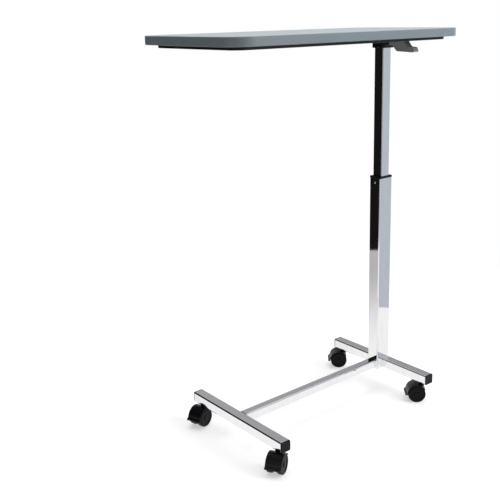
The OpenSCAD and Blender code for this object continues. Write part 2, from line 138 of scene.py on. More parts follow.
def roundRims(piece, radius, steps=3, angle=35):
    applyModifier(piece, "BEVEL", width=radius, segments=steps, limit_method="ANGLE",
                  angle_limit=math.radians(angle), use_clamp_overlap=True)


def cut(piece, *cutters):
    for cutter in cutters:
        applyModifier(piece, "BOOLEAN", operation="DIFFERENCE", solver="EXACT", object=cutter)
        bpy.data.objects.remove(cutter)


def fuse(piece, *others):
    for other in others:
        applyModifier(piece, "BOOLEAN", operation="UNION", solver="EXACT", object=other)
        bpy.data.objects.remove(other)


def joinPieces(name, pieces):
    choose(pieces[0])
    for piece in pieces:
        piece.select_set(True)
    bpy.ops.object.join()
    return settle(name)


def smooth(piece, angle=50):    # smooth over rounded edges, with the flats kept truly flat
    choose(piece)
    bpy.ops.object.shade_smooth_by_angle(angle=math.radians(angle))
    applyModifier(piece, "WEIGHTED_NORMAL", mode="FACE_AREA", weight=100, keep_sharp=True)


def mergeAndTurnOut(piece):
    edit(piece)
    bpy.ops.mesh.select_all(action="SELECT")
    bpy.ops.mesh.remove_doubles(threshold=near / 4)
    bpy.ops.mesh.normals_make_consistent(inside=False)
    leave()


def copyPiece(piece, name, place):      # a copy with its own mesh, its place put into the mesh
    twin = piece.copy()
    twin.data = piece.data.copy()
    twin.name = name
    twin.data.name = name
    bpy.context.scene.collection.objects.link(twin)
    twin.matrix_world = place
    choose(twin)
    bpy.ops.object.transform_apply(location=True, rotation=True, scale=True)
    return twin


def roundCorners(outline, steps=5):     # points are (x, y, corner radius); closed, corners as arcs
    points = []
    for i, (x, y, radius) in enumerate(outline):
        corner = Vector((x, y))
        before = (Vector(outline[i - 1][:2]) - corner).normalized()
        after = (Vector(outline[(i + 1) % len(outline)][:2]) - corner).normalized()
        if radius == 0:
            points.append(corner)
            continue
        half = before.angle(after) / 2
        centre = corner + (before + after).normalized() * radius / math.sin(half)
        start = corner + before * radius / math.tan(half) - centre
        end = corner + after * radius / math.tan(half) - centre
        sweep = start.angle_signed(end)
        for k in range(steps + 1):
            turned = start.copy()
            turned.rotate(Matrix.Rotation(-sweep * k / steps, 2))
            points.append(centre + turned)
    return points


def traceOutline(name, points):         # one vertex, extruded from point to point
    bpy.ops.object.select_all(action="DESELECT")
    bpy.ops.mesh.primitive_plane_add(size=mm, location=points[0])
    bpy.ops.object.mode_set(mode="EDIT")
    bpy.ops.mesh.select_mode(type="VERT")
    bpy.ops.mesh.select_all(action="SELECT")
    bpy.ops.mesh.merge(type="CENTER")
    for start, end in zip(points, points[1:]):
        bpy.ops.mesh.extrude_region_move(TRANSFORM_OT_translate={"value": end - start})
    leave()
    return settle(name)


def extrudeOutline(name, points, way):  # fills the traced outline and pulls it into a solid
    piece = traceOutline(name, points)
    edit(piece)
    bpy.ops.mesh.select_all(action="SELECT")
    bpy.ops.mesh.edge_face_add()
    bpy.ops.mesh.extrude_region_move(TRANSFORM_OT_translate={"value": way})
    leave()
    mergeAndTurnOut(piece)
    return piece


def spinProfile(name, profile, steps=72):       # profile points are (radius, height), turned about Z
    piece = traceOutline(name, [Vector((radius, 0, height)) for radius, height in profile])
    edit(piece)
    bpy.ops.mesh.select_all(action="SELECT")
    bpy.ops.mesh.spin(steps=steps, angle=2 * math.pi, center=(0, 0, 0), axis=(0, 0, 1))
    leave()
    mergeAndTurnOut(piece)
    return piece


def finishPiece(piece, body, slot, *nodes):
    piece.data.materials.clear()
    piece.data.materials.append(finishes[slot])
    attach(piece, body)
    if nodes:
        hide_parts(*nodes)


def newFinish(name, **sockets):         # a Principled material with its plain numbers on its own sockets
    finish = bpy.data.materials.new(name)
    finish.use_nodes = True
    shader = finish.node_tree.nodes["Principled BSDF"]
    for key, value in sockets.items():
        shader.inputs[key.replace("_", " ")].default_value = value
    return finish, shader


def addNode(finish, kind, inputs={}, **settings):
    node = finish.node_tree.nodes.new(kind)
    for key, value in settings.items():
        setattr(node, key, value)
    for key, value in inputs.items():
        if isinstance(value, bpy.types.NodeSocket):
            finish.node_tree.links.new(value, node.inputs[key])
        else:
            node.inputs[key].default_value = value
    return node


def objectPattern(finish, kind, scale, stretch=(1, 1, 1), **inputs):    # a texture on Object coordinates
    coordinates = addNode(finish, "ShaderNodeTexCoord")
    mapping = addNode(finish, "ShaderNodeMapping",
                      {"Vector": coordinates.outputs["Object"], "Scale": stretch})
    return addNode(finish, kind, {"Vector": mapping.outputs["Vector"], "Scale": scale, **inputs})


def ramp(finish, value, stops):         # stops are (position, grey or colour)
    node = addNode(finish, "ShaderNodeValToRGB", {"Fac": value})
    elements = node.color_ramp.elements
    while len(elements) < len(stops):
        elements.new(0.5)
    for element, (position, colour) in zip(elements, stops):
        element.position = position
        element.color = (colour,) * 3 + (1,) if isinstance(colour, float) else (*colour, 1)
    return node.outputs["Color"]


def multiply(finish, first, second):    # one colour times another
    blend = addNode(finish, "ShaderNodeMix", data_type="RGBA", blend_type="MULTIPLY")
    blend.inputs["Factor"].default_value = 1
    connect(finish, first, blend.inputs["A"])
    connect(finish, second, blend.inputs["B"])
    return blend.outputs["Result"]


def addBump(finish, shader, height, strength, distance):
    bump = addNode(finish, "ShaderNodeBump", {"Height": height, "Strength": strength, "Distance": distance})
    finish.node_tree.links.new(bump.outputs["Normal"], shader.inputs["Normal"])


def connect(finish, output, socket):
    finish.node_tree.links.new(output, socket)


def makeChrome(name, colour, shine):    # shine is the roughness of clean metal and of a smudge
    finish, shader = newFinish(name, Metallic=1.0)
    smudge = objectPattern(finish, "ShaderNodeTexNoise", 9, Detail=5.0, Roughness=0.62)
    wipe = objectPattern(finish, "ShaderNodeTexNoise", 60, stretch=(1, 1, 0.25), Detail=3.0)
    connect(finish, ramp(finish, smudge.outputs["Fac"], [(0.45, shine[0]), (0.75, shine[1])]),
            shader.inputs["Roughness"])
    dull = tuple(part * 0.96 for part in colour)
    connect(finish, ramp(finish, wipe.outputs["Fac"], [(0.35, dull), (0.65, colour)]),
            shader.inputs["Base Color"])
    return finish


def makeSatinMetal(name, colour, rough, mottle=0.85, metallic=1.0):
    finish, shader = newFinish(name, Metallic=metallic)
    cloud = objectPattern(finish, "ShaderNodeTexNoise", 180, Detail=4.0, Roughness=0.6)
    dull = tuple(part * mottle for part in colour)
    connect(finish, ramp(finish, cloud.outputs["Fac"], [(0.35, dull), (0.65, colour)]),
            shader.inputs["Base Color"])
    connect(finish, ramp(finish, cloud.outputs["Fac"], [(0.3, rough - 0.06), (0.7, rough + 0.06)]),
            shader.inputs["Roughness"])
    grain = objectPattern(finish, "ShaderNodeTexNoise", 2500, Detail=2.0)
    addBump(finish, shader, grain.outputs["Fac"], 0.12, 0.00005)
    return finish


def makeMouldedPlastic(name, colour, rough, gloss, grainSize=0.5, grain=0.2):
    finish, shader = newFinish(name, Specular_IOR_Level=gloss)
    patch = objectPattern(finish, "ShaderNodeTexNoise", 35, Detail=4.0, Roughness=0.55)
    light = tuple(part * 1.25 for part in colour)
    connect(finish, ramp(finish, patch.outputs["Fac"], [(0.35, colour), (0.7, light)]),
            shader.inputs["Base Color"])
    connect(finish, ramp(finish, patch.outputs["Fac"], [(0.3, rough - 0.05), (0.7, rough + 0.06)]),
            shader.inputs["Roughness"])
    pores = objectPattern(finish, "ShaderNodeTexNoise", 1 / (grainSize * mm), Detail=2.0)
    addBump(finish, shader, pores.outputs["Fac"], grain, 0.00008)
    return finish


def makePowderCoat(name, colour, rough, gloss):
    finish, shader = newFinish(name, Specular_IOR_Level=gloss)
    peel = objectPattern(finish, "ShaderNodeTexVoronoi", 900, Randomness=1.0)
    patch = objectPattern(finish, "ShaderNodeTexNoise", 25, Detail=3.0)
    light = tuple(part * 1.2 for part in colour)
    connect(finish, ramp(finish, patch.outputs["Fac"], [(0.35, colour), (0.65, light)]),
            shader.inputs["Base Color"])
    connect(finish, ramp(finish, patch.outputs["Fac"], [(0.3, rough - 0.04), (0.7, rough + 0.05)]),
            shader.inputs["Roughness"])
    addBump(finish, shader, peel.outputs["Distance"], 0.25, 0.00006)
    return finish


def makeLaminate(name, colour, rough, gloss, speckle, pebble):
    finish, shader = newFinish(name, Specular_IOR_Level=gloss)
    fleck = objectPattern(finish, "ShaderNodeTexNoise", 700, Detail=3.0, Roughness=0.7)
    cloud = objectPattern(finish, "ShaderNodeTexNoise", 6, Detail=3.0)
    dark = tuple(part * (1 - speckle) for part in colour)
    pale = tuple(min(1, part * (1 + speckle)) for part in colour)
    flecks = ramp(finish, fleck.outputs["Fac"], [(0.34, dark), (0.5, colour), (0.66, pale)])
    shade = ramp(finish, cloud.outputs["Fac"], [(0.3, 0.96), (0.7, 1.0)])
    connect(finish, multiply(finish, flecks, shade), shader.inputs["Base Color"])
    connect(finish, ramp(finish, cloud.outputs["Fac"], [(0.3, rough - 0.03), (0.7, rough + 0.04)]),
            shader.inputs["Roughness"])
    grain = objectPattern(finish, "ShaderNodeTexNoise", 1 / (pebble * mm), Detail=2.0)
    addBump(finish, shader, grain.outputs["Fac"], 0.18, 0.00008)
    return finish


def makeChipboard(name, pale, dark):
    finish, shader = newFinish(name, Specular_IOR_Level=0.25, Roughness=0.85)
    chips = objectPattern(finish, "ShaderNodeTexVoronoi", 430, stretch=(1, 1.8, 1), Randomness=1.0)
    dust = objectPattern(finish, "ShaderNodeTexNoise", 900, Detail=4.0)
    bright = tuple(part * 1.15 for part in pale)
    tone = ramp(finish, chips.outputs["Color"], [(0.1, dark), (0.45, pale), (0.9, bright)])
    fine = ramp(finish, dust.outputs["Fac"], [(0.35, 0.82), (0.65, 1.0)])
    connect(finish, multiply(finish, tone, fine), shader.inputs["Base Color"])
    addBump(finish, shader, chips.outputs["Distance"], 0.3, 0.0002)
    return finish


finishes = {
    "core_board": makeChipboard("chipboard", (0.52, 0.40, 0.26), (0.34, 0.24, 0.145)),
    "laminate": makeLaminate("top_laminate", (0.46, 0.52, 0.545), 0.36, 0.5, 0.06, 0.5),
    "edge_band": makeLaminate("edge_band_vinyl", (0.245, 0.295, 0.32), 0.34, 0.45, 0.025, 0.7),
    "black_steel": makePowderCoat("black_powder_coat", (0.012, 0.0125, 0.0135), 0.42, 0.3),
    "black_fastener": makeSatinMetal("black_oxide", (0.05, 0.05, 0.053), 0.42),
    "zinc": makeSatinMetal("zinc_plate", (0.66, 0.66, 0.67), 0.26),
    "lever_grey": makeSatinMetal("lever_casting", (0.52, 0.53, 0.535), 0.38, 0.92, 0.35),
    "chrome_tube": makeChrome("polished_chrome", (0.88, 0.88, 0.89), (0.03, 0.075)),
    "rod_chrome": makeChrome("ground_rod", (0.75, 0.75, 0.76), (0.06, 0.12)),
    "glide_plastic": makeMouldedPlastic("acetal", (0.72, 0.72, 0.70), 0.4, 0.5),
    "black_plastic": makeMouldedPlastic("collar_plastic", (0.008, 0.008, 0.009), 0.42, 0.15),
    "cylinder_paint": makePowderCoat("cylinder_paint", (0.02, 0.02, 0.021), 0.2, 0.4),
    "caster_hood": makeMouldedPlastic("hood_nylon", (0.006, 0.006, 0.0075), 0.30, 0.24, 0.8, 0.08),
    "caster_wheel": makeMouldedPlastic("wheel_nylon", (0.0055, 0.0055, 0.0070), 0.44, 0.13),
}
print("finishes made:", len(finishes))

for entry in frame["record"]["subparts"]:
    node = frame["nodes"][entry["node"]]
    node.data.materials.clear()
    node.data.materials.append(finishes[entry["material_slot"]])
print("CAD nodes finished:", len(frame["nodes"]))

topLook = {
    "corner": 60.0,                 # corners in plan
    "band": 2.5,                    # thickness of the edge band
    "roll": 2.0,                    # the band's rolled edges
    "seam": 0.25,                   # groove between band and laminate
}


def buildTabletop():
    low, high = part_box("edge_band")
    band = roundedBlock("edge_band_rolled", low, high, topLook["corner"] * mm, steps=28)
    bevelEdges(band, lambda edge: level(2, low.z)(edge) or level(2, high.z)(edge), topLook["roll"] * mm, 6)
    edit(band)
    pick("FACE", lambda face: abs(face.normal.z) > 0.999)
    bpy.ops.mesh.inset(thickness=(topLook["band"] - topLook["roll"]) * mm)
    bpy.ops.mesh.delete(type="FACE")
    pick("EDGE", lambda edge: edge.is_boundary)
    bpy.ops.mesh.bridge_edge_loops()
    leave()
    mergeAndTurnOut(band)
    roundRims(band, topLook["seam"] * mm, 2, 60)
    smooth(band)
    finishPiece(band, "mast", "edge_band", "edge_band")

    low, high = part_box("laminate")
    sheet = roundedBlock("top_sheet", low, high, (topLook["corner"] - topLook["band"]) * mm, steps=28)
    roundRims(sheet, topLook["seam"] * mm, 2, 60)
    smooth(sheet)
    finishPiece(sheet, "mast", "laminate", "laminate")


trayLook = {
    "corner": 30.0, "sheet": 1.2, "lip": 10.0,
    "bend": 1.8,                    # outer radius of the folded edges
    "beadWidth": 20.0, "beadDepth": 3.5, "beadPlace": 80.0,     # pressed stiffening beads
    "beadSlope": 5.0, "beadRound": 2.0,
    "beadEnds": (-292.0, 190.0),    # they stop short of the lever's path
}


def buildTray():
    low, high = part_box("underframe_tray")
    tray = roundedBlock("pressed_tray", low, high, trayLook["corner"] * mm, steps=12)
    edit(tray)
    pick("FACE", facing(0, 0, -1))
    bpy.ops.mesh.inset(thickness=trayLook["lip"] * mm)
    bpy.ops.mesh.delete(type="FACE")
    leave()

    def isFold(edge):
        ends = level(2, low.z)(edge) or level(2, high.z)(edge)
        return ends and not edge.is_boundary and any(abs(face.normal.z) < 0.5 for face in edge.link_faces)
    bevelEdges(tray, isFold, trayLook["bend"] * mm, 4)
    half = trayLook["beadWidth"] / 2
    edit(tray)
    for side in (-1, 1):                                # cut the floor where the beads go
        for edge in (-half, half):
            bpy.ops.mesh.select_all(action="SELECT")
            bpy.ops.mesh.bisect(plane_co=(0, (side * trayLook["beadPlace"] + edge) * mm, 0),
                                plane_no=(0, 1, 0))
    for end in trayLook["beadEnds"]:
        bpy.ops.mesh.select_all(action="SELECT")
        bpy.ops.mesh.bisect(plane_co=(end * mm, 0, 0), plane_no=(1, 0, 0))

    def onBead(face):
        centre = face.calc_center_median()
        return face.normal.z > 0.99 and abs(abs(centre.y) - trayLook["beadPlace"] * mm) < half * mm \
            and trayLook["beadEnds"][0] * mm < centre.x < trayLook["beadEnds"][1] * mm
    pick("FACE", onBead)
    bpy.ops.mesh.inset(thickness=trayLook["beadSlope"] * mm)
    bpy.ops.transform.translate(value=(0, 0, -trayLook["beadDepth"] * mm))
    leave()
    beadFloor = high.z - trayLook["beadDepth"] * mm

    def isBeadRim(edge):
        return level(2, beadFloor)(edge) and any(face.normal.z < 0.95 for face in edge.link_faces)
    bevelEdges(tray, isBeadRim, trayLook["beadRound"] * mm, 3)
    edit(tray)
    bpy.ops.mesh.select_all(action="SELECT")
    bpy.ops.mesh.normals_make_consistent(inside=False)
    leave()
    applyModifier(tray, "SOLIDIFY", thickness=trayLook["sheet"] * mm, offset=-1, use_even_offset=True)
    smooth(tray, 40)
    finishPiece(tray, "mast", "black_steel", "underframe_tray")


screwLook = {
    "head": 8.0, "height": 2.2, "dome": 1.3, "shank": 4.0, "shankLength": 10.0,
    "slot": 1.1, "slotLength": 4.6, "slotDepth": 1.3,
    "columns": 4, "turn": 0.7,      # along the tray, and how far each is turned on from the last
}
shankSink = 0.1                     # how deep a shank runs into its head


def makeCrossScrew(name, look):             # head downwards, its seat at the origin
    head = addRod(name, (0, 0, -look["height"] / 2 * mm), look["head"] / 2 * mm, look["height"] * mm,
                  sides=36)
    bevelEdges(head, level(2, -look["height"] * mm), look["dome"] * mm, 4)
    length, width = look["slotLength"] / 2 * mm, look["slot"] / 2 * mm
    for x, y in ((length, width), (width, length)):
        cut(head, addBlock("slot", (-x, -y, -look["height"] * mm - mm),
                           (x, y, (look["slotDepth"] - look["height"]) * mm)))
    shank = addRod("shank", (0, 0, (look["shankLength"] / 2 - shankSink) * mm), look["shank"] / 2 * mm,
                   look["shankLength"] * mm, sides=24)
    screw = joinPieces(name, [head, shank])
    smooth(screw, 40)
    return screw


def buildTrayScrews():
    low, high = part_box("tray_screws")
    model = makeCrossScrew("model_screw", screwLook)
    radius = screwLook["head"] / 2 * mm
    seat = low.z + screwLook["height"] * mm
    pitch = (high.x - low.x - 2 * radius) / (screwLook["columns"] - 1)
    spots = [(low.x + radius + pitch * i, y) for i in range(screwLook["columns"])
             for y in (low.y + radius, high.y - radius)]
    screws = []
    for i, (x, y) in enumerate(spots):
        turn = Matrix.Rotation(screwLook["turn"] * i, 4, "Z")
        screws.append(copyPiece(model, "tray_screw", Matrix.Translation((x, y, seat)) @ turn))
    bpy.data.objects.remove(model)
    joined = joinPieces("cross_screws", screws)
    finishPiece(joined, "mast", "zinc", "tray_screws")


headLook = {
    "plate": 3.0, "plateCorner": 8.0, "socket": 41.8, "socketCorner": 3.5, "tube": 31.9, "tubeCorner": 3.0,
    "earSheet": 3.0, "earGap": 21.0, "earDrop": 7.0, "earFoot": 12.0, "pin": 5.1,
    "slot": 13.0, "slotDrop": 7.5,  # opening for the lever's tongue
    "weld": 2.2, "edge": 0.5,
}
boltLook = {
    "places": (-47.0, 32.0), "half": 20.0,      # along the plate from the column, and to each side
    "across": 10.0, "height": 3.0, "corner": 7.2, "chamfer": 2.2,
    "washer": 13.5, "washerHeight": 1.0, "shank": 6.0, "shankLength": 18.0,
}


def addBead(name, start, end, radius):      # a rippled weld bead laid along one axis
    start, end = Vector(start), Vector(end)
    run = end - start
    axis = max(range(3), key=lambda i: abs(run[i]))
    bead = addRod(name, (start + end) / 2, radius, run.length, axis, sides=10)
    edit(bead)
    pick("EDGE", along(axis))
    rings = max(3, round(run.length / (1.6 * radius)))
    bpy.ops.mesh.subdivide(number_cuts=2 * rings - 1)
    step = run.length / (2 * rings)
    lowest = min(start[axis], end[axis])
    pick("VERT", lambda v: round((v.co[axis] - lowest) / step) % 2 == 0)
    shrink = [0.8] * 3
    shrink[axis] = 1
    bpy.ops.transform.resize(value=shrink, center_override=start)
    leave()
    return bead


def makeHexBolt(spot, seat):        # head downwards under its washer, with a chamfered lower face
    b = boltLook
    washer = addRod("washer", (*spot, seat - b["washerHeight"] / 2 * mm), b["washer"] / 2 * mm,
                    b["washerHeight"] * mm)
    roundRims(washer, 0.25 * mm, 2)
    middle = seat - (b["washerHeight"] + b["height"] / 2 - shankSink) * mm
    head = addRod("hex", (*spot, middle), b["across"] / 2 / math.cos(math.pi / 6) * mm, b["height"] * mm,
                  sides=6)
    blankHeight = b["height"] + 0.4
    blank = addRod("chamfer", (*spot, middle), b["corner"] * mm, blankHeight * mm)
    bevelEdges(blank, level(2, middle - blankHeight / 2 * mm), b["chamfer"] * mm, 1)
    applyModifier(head, "BOOLEAN", operation="INTERSECT", solver="EXACT", object=blank)
    bpy.data.objects.remove(blank)
    roundRims(head, 0.2 * mm, 2, 20)
    shank = addRod("shank", (*spot, seat + (b["shankLength"] / 2 - 1) * mm), b["shank"] / 2 * mm,
                   b["shankLength"] * mm, sides=24)
    return joinPieces("bolt", [washer, head, shank])


def buildHead():
    low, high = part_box("head_bracket")
    tubeLow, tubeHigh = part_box("inner_tube")
    x = (tubeLow.x + tubeHigh.x) / 2
    plateUnder = high.z - headLook["plate"] * mm
    halfPlate = high.y
    plate = roundedBlock("bracket_plate", (low.x, -halfPlate, plateUnder), high,
                         headLook["plateCorner"] * mm)
    socketHalf = headLook["socket"] / 2 * mm
    socket = roundedBlock("bracket_socket", (x - socketHalf, -socketHalf, low.z),
                          (x + socketHalf, socketHalf, plateUnder + 0.2 * mm), headLook["socketCorner"] * mm)
    fuse(plate, socket)
    tube = headLook["tube"] / 2 * mm
    cut(plate, roundedBlock("tube_hole", (x - tube, -tube, low.z - mm), (x + tube, tube, plateUnder),
                            headLook["tubeCorner"] * mm))
    pivot = Vector(joints["lever_pivot"]["pos_m"])
    drop = pivot.z - headLook["earDrop"] * mm
    bedded = plateUnder + 0.1 * mm              # the ears run a little into the plate
    outline = [(low.y, drop, 6 * mm), (low.y, bedded, 0), (-socketHalf + mm, bedded, 0),
               (-socketHalf + mm, pivot.z - headLook["earFoot"] * mm, 0),
               (-socketHalf - 3 * mm, drop, 2 * mm)]
    for side in (-1, 1):
        inner = x + side * headLook["earGap"] / 2 * mm
        ear = extrudeOutline("bracket_ear", [Vector((inner, *p)) for p in roundCorners(outline)],
                             (side * headLook["earSheet"] * mm, 0, 0))
        cut(ear, addRod("pin_hole", (x, pivot.y, pivot.z), headLook["pin"] / 2 * mm, 60 * mm, 0, 32))
        fuse(plate, ear)
    slot = headLook["slot"] / 2 * mm
    cut(plate, addBlock("tongue_slot", (x - slot, -socketHalf - 2 * mm, pivot.z - headLook["slotDrop"] * mm),
                        (x + slot, 2 * mm, plateUnder)))
    roundRims(plate, headLook["edge"] * mm, 2, 60)
    smooth(plate)
    weld = headLook["weld"] * mm
    reach = socketHalf - headLook["socketCorner"] * mm
    ends = (((x - reach, socketHalf), (x + reach, socketHalf)),
            ((x - socketHalf, -reach), (x - socketHalf, reach)),
            ((x + socketHalf, -reach), (x + socketHalf, reach)))
    beads = [addBead("bead", (*start, plateUnder), (*end, plateUnder), weld) for start, end in ends]
    for bead in beads:
        smooth(bead, 60)
    bracket = joinPieces("head_weldment", [plate] + beads)
    finishPiece(bracket, "mast", "black_steel", "head_bracket")

    bolts = [makeHexBolt((x + place * mm, side * boltLook["half"] * mm), plateUnder)
             for place in boltLook["places"] for side in (-1, 1)]
    joined = joinPieces("plate_bolts", bolts)
    smooth(joined, 40)
    finishPiece(joined, "mast", "black_fastener", "head_bolts")


leverLook = {
    "width": 20.0, "sheet": 2.2, "edge": 1.1,
    # seen from the side, from the pivot outwards: along, up, corner radius
    "outline": [(-5, 3, 3), (56, 3, 7), (69, -12.5, 7), (86.5, -13.8, 3), (92, -24, 2.2), (90, -27, 2.2),
                (31, -25, 9), (17, -10.5, 6), (-5, -7, 3)],
    "pocketEnd": 53.0, "pocket": (-5.0, 15.0),  # hollow on top: how far out, its floor and its opening
    "bore": 5.1,
    "tongue": 10.0, "tongueTop": 4.0, "tongueUnder": 1.0, "tongueBack": 12.0, "postFoot": 5.2,
}


def buildLever():
    pivot = Vector(joints["lever_pivot"]["pos_m"])
    half = leverLook["width"] / 2 * mm
    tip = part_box("lever")[0].y
    longest = max(point[0] for point in leverLook["outline"]) * mm
    fit = (pivot.y - tip) / longest
    outline = [(a * mm * fit, b * mm, r * mm) for a, b, r in leverLook["outline"]]
    points = [Vector((pivot.x - half, pivot.y - p.x, pivot.z + p.y)) for p in roundCorners(outline, 6)]
    lever = extrudeOutline("cast_lever", points, (2 * half, 0, 0))
    wall = leverLook["sheet"] * mm
    floor, opening = (pivot.z + height * mm for height in leverLook["pocket"])
    cut(lever, addBlock("pocket", (pivot.x - half + wall, pivot.y - leverLook["pocketEnd"] * mm, floor),
                        (pivot.x + half - wall, pivot.y + 10 * mm, opening)),
        addRod("pivot_hole", pivot, leverLook["bore"] / 2 * mm, 40 * mm, 0, 32))
    roundRims(lever, leverLook["edge"] * mm, 4, 50)
    side = leverLook["tongue"] / 2 * mm
    back = pivot.y - leverLook["tongueBack"] * mm
    tongue = roundedBlock("tongue", (pivot.x - side, back, pivot.z - leverLook["tongueUnder"] * mm),
                          (pivot.x + side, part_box("lever")[1].y, pivot.z + leverLook["tongueTop"] * mm),
                          1.5 * mm)
    roundRims(tongue, 0.5 * mm, 2)
    post = addBlock("post", (pivot.x - side, back, pivot.z - leverLook["postFoot"] * mm),
                    (pivot.x + side, pivot.y - 4 * mm, pivot.z))
    lever = joinPieces("cast_lever", [lever, tongue, post])
    smooth(lever)
    finishPiece(lever, "lever", "lever_grey", "lever")


tubeLook = {
    "columnCorner": 3.0, "columnWall": 1.5,
    "baseCorner": 4.0, "baseWall": 1.6,
    "cutEdge": 0.25,                # broken edge of a sawn end
    "screwHole": 4.1, "socketHole": 13.1,
}


def makeTube(name, node, axis, kind):       # kind is column or base
    corner, wall = tubeLook[kind + "Corner"], tubeLook[kind + "Wall"]
    low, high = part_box(node)
    tube = addBlock(name, low, high)
    edit(tube)
    pick("FACE", lambda face: abs(face.normal[axis]) > 0.99)
    bpy.ops.mesh.delete(type="ONLY_FACE")
    leave()
    bevelEdges(tube, along(axis), corner * mm, 10)
    applyModifier(tube, "SOLIDIFY", thickness=wall * mm, offset=-1, use_even_offset=True)
    roundRims(tube, tubeLook["cutEdge"] * mm, 2, 60)
    return tube


def boxCentre(node):
    low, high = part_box(node)
    return (low + high) / 2


def buildTubes():
    inner = makeTube("upper_mast_tube", "inner_tube", 2, "column")
    smooth(inner)
    finishPiece(inner, "mast", "chrome_tube", "inner_tube")
    outer = makeTube("lower_column_tube", "outer_tube", 2, "column")
    spot = boxCentre("collar_screw")
    cut(outer, addRod("screw_hole", (spot.x, 0, spot.z), tubeLook["screwHole"] / 2 * mm, 20 * mm, 0, 32))
    smooth(outer)
    finishPiece(outer, "base", "chrome_tube", "outer_tube")
    for node, axis, name in (("front_leg", 1, "front_foot_tube"),
                             ("rear_leg_left", 1, "rear_foot_tube_left"),
                             ("rear_leg_right", 1, "rear_foot_tube_right"), ("rail", 0, "base_rail_tube")):
        tube = makeTube(name, node, axis, "base")
        low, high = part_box(node)
        for corner in cornerNames:
            spot = boxCentre("socket_" + corner)
            if low.x < spot.x < high.x and low.y < spot.y < high.y:
                cut(tube, addRod("socket_hole", (spot.x, spot.y, low.z), tubeLook["socketHole"] / 2 * mm,
                                 6 * mm, 2, 40))
        smooth(tube)
        finishPiece(tube, "base", "chrome_tube", node)


weldLook = {"bead": 1.5}


def buildWelds():
    bead = weldLook["bead"] * mm
    railLow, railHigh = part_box("rail")
    columnLow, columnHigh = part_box("outer_tube")
    corner = tubeLook["baseCorner"] * mm
    beads = []
    for x in (railLow.x, railHigh.x):
        for y in (railLow.y, railHigh.y):
            beads.append(((x, y, railLow.z + corner), (x, y, railHigh.z - corner)))
        beads.append(((x, railLow.y + corner, railLow.z), (x, railHigh.y - corner, railLow.z)))
    beads.append(((columnLow.x, railLow.y + corner, railHigh.z),
                  (columnLow.x, railHigh.y - corner, railHigh.z)))
    for node, y in (("rear_leg_left", columnHigh.y), ("rear_leg_right", columnLow.y)):
        low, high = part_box(node)
        beads.append(((low.x, y, low.z + corner), (low.x, y, high.z - corner)))
        beads.append(((low.x + corner, y, high.z), (columnHigh.x - corner, y, high.z)))
        beads.append(((columnHigh.x, y, low.z + corner), (columnHigh.x, y, high.z - corner)))
    welds = [addBead("weld", start, end, bead) for start, end in beads]
    joined = joinPieces("base_welds", welds)
    smooth(joined, 60)
    finishPiece(joined, "base", "chrome_tube")


collarLook = {
    "corner": 4.0, "rimRoll": 1.2, "overhang": 1.0,
    "hole": 32.4, "holeCorner": 3.0, "mouth": 0.8, "sleeveCorner": 1.5,
}
collarScrewLook = dict(screwLook, height=1.8, dome=1.1, slot=0.9, slotLength=3.6, slotDepth=1.0, turn=0.5)


def buildCollar():
    low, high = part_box("collar")
    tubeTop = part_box("outer_tube")[1].z
    x = (low.x + high.x) / 2
    wall = (tubeLook["columnWall"] + collarLook["overhang"]) * mm
    rim = roundedBlock("collar_rim", (low.x, low.y, tubeTop), high, collarLook["corner"] * mm)
    roundRims(rim, collarLook["rimRoll"] * mm, 4, 60)
    sleeve = roundedBlock("collar_sleeve", (low.x + wall, low.y + wall, low.z),
                          (high.x - wall, high.y - wall, tubeTop + mm), collarLook["sleeveCorner"] * mm)
    fuse(rim, sleeve)
    half = collarLook["hole"] / 2 * mm
    hole = roundedBlock("collar_hole", (x - half, -half, low.z - mm), (x + half, half, high.z + mm),
                        collarLook["holeCorner"] * mm)
    cut(rim, hole)

    def isMouth(edge):
        inside = all(max(abs(v.co.y), abs(v.co.x - x)) < half + near for v in edge.verts)
        return inside and level(2, high.z)(edge)
    bevelEdges(rim, isMouth, collarLook["mouth"] * mm, 3)
    screwLow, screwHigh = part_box("collar_screw")
    height = (screwLow.z + screwHigh.z) / 2
    cut(rim, addRod("screw_hole", (low.x, 0, height), tubeLook["screwHole"] / 2 * mm, 30 * mm, 0, 24))
    rim.name = "column_collar"
    smooth(rim)
    finishPiece(rim, "base", "black_plastic", "collar")

    model = makeCrossScrew("model_screw", dict(collarScrewLook, head=screwHigh.y * 2 / mm))
    seat = Vector((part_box("outer_tube")[0].x, 0, height))
    turn = Matrix.Rotation(math.pi / 2, 4, "Y") @ Matrix.Rotation(collarScrewLook["turn"], 4, "Z")
    screw = copyPiece(model, "collar_cross_screw", Matrix.Translation(seat) @ turn)
    bpy.data.objects.remove(model)
    finishPiece(screw, "base", "zinc", "collar_screw")


capLook = {
    "corner": 4.0, "face": 3.0, "roll": 1.3,
    "panel": 3.3, "panelSlope": 0.5, "panelRise": 0.35,     # a shallow panel on the face
    "plugInset": 1.75, "plugWall": 2.0, "plugCorner": 2.4, "plugDepth": 12.0, "plugEdge": 0.5,
}


